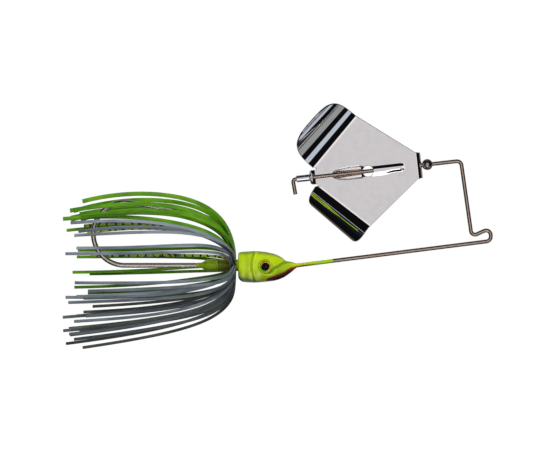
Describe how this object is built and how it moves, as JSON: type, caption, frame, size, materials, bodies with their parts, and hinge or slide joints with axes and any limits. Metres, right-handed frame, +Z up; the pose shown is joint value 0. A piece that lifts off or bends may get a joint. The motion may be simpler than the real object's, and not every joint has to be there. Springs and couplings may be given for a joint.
{
  "type": "buzzbait",
  "caption": "Surface fishing lure on a bent wire: a lead head with eyes, a single hook and a strand skirt below, and a winged propeller blade that spins on the upper arm.",
  "frame": {"origin": "the line tie: the inside of the wire's open bend, where the line pulls", "axes": "+X forward towards the nose and the line tie, +Z up towards the blade, +Y the lure's left side"},
  "size_m": [0.1366, 0.0466, 0.077],
  "materials": {
    "painted_lead": "gloss",
    "hook_steel": "satin",
    "wire": "satin",
    "blade_metal": "polished",
    "rivet_metal": "polished",
    "bead_metal": "polished",
    "eye_foil": "gloss",
    "eye_resin": "gloss",
    "band_rubber": "satin",
    "silicone_green": "satin",
    "silicone_grey": "satin",
    "silicone_barred": "satin"
  },
  "bodies": {
    "root": {"wire_form": "wire", "hook": "hook_steel", "head_casting": "painted_lead", "eye_foil_left": "eye_foil", "eye_dome_left": "eye_resin", "eye_foil_right": "eye_foil", "eye_dome_right": "eye_resin"},
    "rivet": {"rivet": "rivet_metal"},
    "blade": {"blade": "blade_metal"},
    "bead": {"bead": "bead_metal"},
    "skirt": {"skirt_band": "band_rubber"},
    "strand_pair_01": {"strand_01": "silicone_green", "strand_02": "silicone_green"},
    "strand_pair_02": {"strand_03": "silicone_green", "strand_04": "silicone_green"},
    "strand_pair_03": {"strand_05": "silicone_green", "strand_06": "silicone_green"},
    "strand_pair_04": {"strand_07": "silicone_grey", "strand_08": "silicone_grey"},
    "strand_pair_05": {"strand_09": "silicone_grey", "strand_10": "silicone_grey"},
    "strand_pair_06": {"strand_11": "silicone_grey", "strand_12": "silicone_grey"},
    "strand_pair_07": {"strand_13": "silicone_grey", "strand_14": "silicone_grey"},
    "strand_pair_08": {"strand_15": "silicone_grey", "strand_16": "silicone_grey"},
    "strand_pair_09": {"strand_17": "silicone_grey", "strand_18": "silicone_grey"},
    "strand_pair_10": {"strand_19": "silicone_grey", "strand_20": "silicone_grey"},
    "strand_pair_11": {"strand_21": "silicone_grey", "strand_22": "silicone_grey"},
    "strand_pair_12": {"strand_23": "silicone_grey", "strand_24": "silicone_grey"},
    "strand_pair_13": {"strand_25": "silicone_grey", "strand_26": "silicone_grey"},
    "strand_pair_14": {"strand_27": "silicone_grey", "strand_28": "silicone_grey"},
    "strand_pair_15": {"strand_29": "silicone_grey", "strand_30": "silicone_grey"},
    "strand_pair_16": {"strand_31": "silicone_grey", "strand_32": "silicone_grey"},
    "strand_pair_17": {"strand_33": "silicone_green", "strand_34": "silicone_green"},
    "strand_pair_18": {"strand_35": "silicone_green", "strand_36": "silicone_green"},
    "strand_pair_19": {"strand_37": "silicone_green", "strand_38": "silicone_green"},
    "strand_pair_20": {"strand_39": "silicone_barred", "strand_40": "silicone_green"},
    "strand_pair_21": {"strand_41": "silicone_barred", "strand_42": "silicone_green"},
    "strand_pair_22": {"strand_43": "silicone_barred", "strand_44": "silicone_green"},
    "strand_pair_23": {"strand_45": "silicone_green", "strand_46": "silicone_green"},
    "strand_pair_24": {"strand_47": "silicone_green", "strand_48": "silicone_green"}
  },
  "joints": [
    {"name": "rivet_slide", "type": "slide", "parent": "root", "child": "rivet", "axis": [0.9938, 0, 0.1108], "range_m": [0, 0.0065]},
    {"name": "blade_spin", "type": "hinge", "parent": "rivet", "child": "blade", "pos_m": [-0.03832, 0, 0.0206], "axis": [0.9938, 0, 0.1108], "continuous": true},
    {"name": "bead_spin", "type": "hinge", "parent": "rivet", "child": "bead", "pos_m": [-0.03832, 0, 0.0206], "axis": [0.9938, 0, 0.1108], "continuous": true},
    {"name": "skirt_turn", "type": "hinge", "parent": "root", "child": "skirt", "pos_m": [-0.08256, 0, -0.0093], "axis": [1, 0, 0], "range_deg": [-4, 4]},
    {"name": "skirt_flare", "type": "hinge", "parent": "skirt", "child": "strand_pair_01", "pos_m": [-0.08087, -0.0006, -0.00727], "axis": [0, 0.9586, 0.2849], "range_deg": [-10, 8]},
    {"name": "skirt_flare_02", "type": "hinge", "parent": "skirt", "child": "strand_pair_02", "pos_m": [-0.08137, -0.00108, -0.00748], "axis": [0, 0.8593, 0.5115], "range_deg": [-10, 8]},
    {"name": "skirt_flare_03", "type": "hinge", "parent": "skirt", "child": "strand_pair_03", "pos_m": [-0.08087, -0.0015, -0.0078], "axis": [0, 0.7074, 0.7068], "range_deg": [-10, 8]},
    {"name": "skirt_flare_04", "type": "hinge", "parent": "skirt", "child": "strand_pair_04", "pos_m": [-0.08137, -0.00182, -0.00821], "axis": [0, 0.5122, 0.8589], "range_deg": [-10, 8]},
    {"name": "skirt_flare_05", "type": "hinge", "parent": "skirt", "child": "strand_pair_05", "pos_m": [-0.08087, -0.00203, -0.00869], "axis": [0, 0.2856, 0.9583], "range_deg": [-10, 8]},
    {"name": "skirt_flare_06", "type": "hinge", "parent": "skirt", "child": "strand_pair_06", "pos_m": [-0.08137, -0.00212, -0.00921], "axis": [0, 0.0416, 0.9991], "range_deg": [-10, 8]},
    {"name": "skirt_flare_07", "type": "hinge", "parent": "skirt", "child": "strand_pair_07", "pos_m": [-0.08087, -0.00208, -0.00974], "axis": [0, -0.205, 0.9788], "range_deg": [-10, 8]},
    {"name": "skirt_flare_08", "type": "hinge", "parent": "skirt", "child": "strand_pair_08", "pos_m": [-0.08137, -0.00191, -0.01023], "axis": [0, -0.439, 0.8985], "range_deg": [-10, 8]},
    {"name": "skirt_flare_09", "type": "hinge", "parent": "skirt", "child": "strand_pair_09", "pos_m": [-0.08087, -0.00162, -0.01067], "axis": [0, -0.6462, 0.7632], "range_deg": [-10, 8]},
    {"name": "skirt_flare_10", "type": "hinge", "parent": "skirt", "child": "strand_pair_10", "pos_m": [-0.08137, -0.00123, -0.01103], "axis": [0, -0.8138, 0.5812], "range_deg": [-10, 8]},
    {"name": "skirt_flare_11", "type": "hinge", "parent": "skirt", "child": "strand_pair_11", "pos_m": [-0.08087, -0.00077, -0.01128], "axis": [0, -0.9316, 0.3636], "range_deg": [-10, 8]},
    {"name": "skirt_flare_12", "type": "hinge", "parent": "skirt", "child": "strand_pair_12", "pos_m": [-0.08137, -0.00026, -0.0114], "axis": [0, -0.9923, 0.1237], "range_deg": [-10, 8]},
    {"name": "skirt_flare_13", "type": "hinge", "parent": "skirt", "child": "strand_pair_13", "pos_m": [-0.08087, 0.00026, -0.0114], "axis": [0, -0.9923, -0.1237], "range_deg": [-10, 8]},
    {"name": "skirt_flare_14", "type": "hinge", "parent": "skirt", "child": "strand_pair_14", "pos_m": [-0.08137, 0.00077, -0.01128], "axis": [0, -0.9316, -0.3636], "range_deg": [-10, 8]},
    {"name": "skirt_flare_15", "type": "hinge", "parent": "skirt", "child": "strand_pair_15", "pos_m": [-0.08087, 0.00123, -0.01103], "axis": [0, -0.8138, -0.5812], "range_deg": [-10, 8]},
    {"name": "skirt_flare_16", "type": "hinge", "parent": "skirt", "child": "strand_pair_16", "pos_m": [-0.08137, 0.00162, -0.01067], "axis": [0, -0.6462, -0.7632], "range_deg": [-10, 8]},
    {"name": "skirt_flare_17", "type": "hinge", "parent": "skirt", "child": "strand_pair_17", "pos_m": [-0.08087, 0.00191, -0.01023], "axis": [0, -0.439, -0.8985], "range_deg": [-10, 8]},
    {"name": "skirt_flare_18", "type": "hinge", "parent": "skirt", "child": "strand_pair_18", "pos_m": [-0.08137, 0.00208, -0.00974], "axis": [0, -0.205, -0.9788], "range_deg": [-10, 8]},
    {"name": "skirt_flare_19", "type": "hinge", "parent": "skirt", "child": "strand_pair_19", "pos_m": [-0.08087, 0.00212, -0.00921], "axis": [0, 0.0416, -0.9991], "range_deg": [-10, 8]},
    {"name": "skirt_flare_20", "type": "hinge", "parent": "skirt", "child": "strand_pair_20", "pos_m": [-0.08137, 0.00203, -0.00869], "axis": [0, 0.2856, -0.9583], "range_deg": [-10, 8]},
    {"name": "skirt_flare_21", "type": "hinge", "parent": "skirt", "child": "strand_pair_21", "pos_m": [-0.08087, 0.00182, -0.00821], "axis": [0, 0.5122, -0.8589], "range_deg": [-10, 8]},
    {"name": "skirt_flare_22", "type": "hinge", "parent": "skirt", "child": "strand_pair_22", "pos_m": [-0.08137, 0.0015, -0.0078], "axis": [0, 0.7074, -0.7068], "range_deg": [-10, 8]},
    {"name": "skirt_flare_23", "type": "hinge", "parent": "skirt", "child": "strand_pair_23", "pos_m": [-0.08087, 0.00108, -0.00748], "axis": [0, 0.8593, -0.5115], "range_deg": [-10, 8]},
    {"name": "skirt_flare_24", "type": "hinge", "parent": "skirt", "child": "strand_pair_24", "pos_m": [-0.08137, 0.0006, -0.00727], "axis": [0, 0.9586, -0.2849], "range_deg": [-10, 8]}
  ],
  "couplings": [
    {"joint": "skirt_flare_02", "follows": "skirt_flare", "ratio": 1},
    {"joint": "skirt_flare_03", "follows": "skirt_flare", "ratio": 1},
    {"joint": "skirt_flare_04", "follows": "skirt_flare", "ratio": 1},
    {"joint": "skirt_flare_05", "follows": "skirt_flare", "ratio": 1},
    {"joint": "skirt_flare_06", "follows": "skirt_flare", "ratio": 1},
    {"joint": "skirt_flare_07", "follows": "skirt_flare", "ratio": 1},
    {"joint": "skirt_flare_08", "follows": "skirt_flare", "ratio": 1},
    {"joint": "skirt_flare_09", "follows": "skirt_flare", "ratio": 1},
    {"joint": "skirt_flare_10", "follows": "skirt_flare", "ratio": 1},
    {"joint": "skirt_flare_11", "follows": "skirt_flare", "ratio": 1},
    {"joint": "skirt_flare_12", "follows": "skirt_flare", "ratio": 1},
    {"joint": "skirt_flare_13", "follows": "skirt_flare", "ratio": 1},
    {"joint": "skirt_flare_14", "follows": "skirt_flare", "ratio": 1},
    {"joint": "skirt_flare_15", "follows": "skirt_flare", "ratio": 1},
    {"joint": "skirt_flare_16", "follows": "skirt_flare", "ratio": 1},
    {"joint": "skirt_flare_17", "follows": "skirt_flare", "ratio": 1},
    {"joint": "skirt_flare_18", "follows": "skirt_flare", "ratio": 1},
    {"joint": "skirt_flare_19", "follows": "skirt_flare", "ratio": 1},
    {"joint": "skirt_flare_20", "follows": "skirt_flare", "ratio": 1},
    {"joint": "skirt_flare_21", "follows": "skirt_flare", "ratio": 1},
    {"joint": "skirt_flare_22", "follows": "skirt_flare", "ratio": 1},
    {"joint": "skirt_flare_23", "follows": "skirt_flare", "ratio": 1},
    {"joint": "skirt_flare_24", "follows": "skirt_flare", "ratio": 1}
  ]
}
